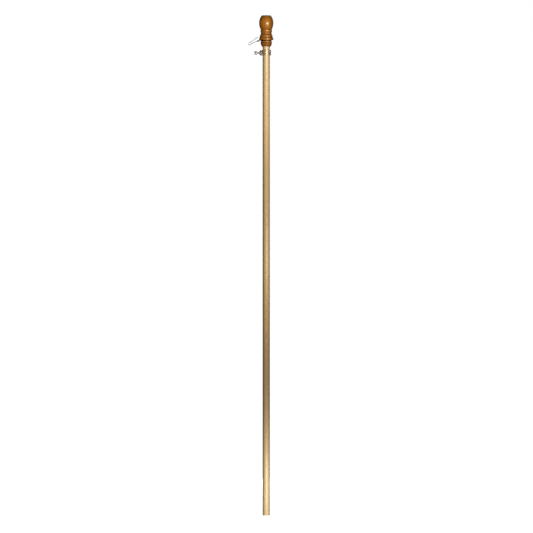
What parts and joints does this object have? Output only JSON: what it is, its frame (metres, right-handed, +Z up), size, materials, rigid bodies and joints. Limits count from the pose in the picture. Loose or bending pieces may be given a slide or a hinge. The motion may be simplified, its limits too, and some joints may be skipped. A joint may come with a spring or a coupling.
{
  "type": "flag pole",
  "caption": "Wooden flag pole with a turned finial, a swivelling spring-wire clip under it and a clear sliding collar clamped by a thumbscrew.",
  "frame": {"origin": "centre of the pole's cut foot", "axes": "+Z up the pole to the finial; -X the side the clip and the thumbscrew point to at rest; +Y completes a right-handed frame"},
  "size_m": [0.077, 0.0436, 1.524],
  "materials": {
    "dowel_wood": "pale dowel, sanded, satin lacquer",
    "stained_wood": "golden brown stain under gloss varnish",
    "spring_wire": "bright nickel plate",
    "clear_plastic": "clear, moulded",
    "bush_brass": "machined",
    "plated_steel": "dull nickel plate",
    "zinc_steel": "zinc plate"
  },
  "bodies": {
    "pole": {"pole": "dowel_wood", "finial": "stained_wood", "dowel_screw": "zinc_steel"},
    "clip": {"clip_wire": "spring_wire"},
    "clip_leg": {"clip_leg": "spring_wire"},
    "collar": {"collar": "clear_plastic", "thread_insert": "bush_brass"},
    "screw_stud": {"thumbscrew_stud": "plated_steel"},
    "screw_head": {"thumbscrew_head": "plated_steel"}
  },
  "joints": [
    {"name": "clip_swivel", "type": "hinge", "parent": "pole", "child": "clip", "pos_m": [0, 0, 1.4476], "axis": [0, 0, 1], "continuous": true},
    {"name": "leg_flex", "type": "hinge", "parent": "clip", "child": "clip_leg", "pos_m": [-0.05027, 0, 1.43815], "axis": [0, -1, 0], "range_deg": [-6, 14], "stiffness_Nm_per_rad": 2.5},
    {"name": "collar_slide", "type": "slide", "parent": "pole", "child": "collar", "axis": [0, 0, 1], "range_m": [-1.385, 0.0092]},
    {"name": "screw_travel", "type": "slide", "parent": "collar", "child": "screw_stud", "axis": [-1, 0, 0], "range_m": [-0.00085, 0.00583]},
    {"name": "screw_turn", "type": "hinge", "parent": "screw_stud", "child": "screw_head", "pos_m": [-0.0325, 0, 1.4098], "axis": [-1, 0, 0], "range_deg": [-288, 1980]}
  ],
  "couplings": [
    {"joint": "screw_travel", "follows": "screw_turn", "m_per_rad": 0.00016843}
  ]
}
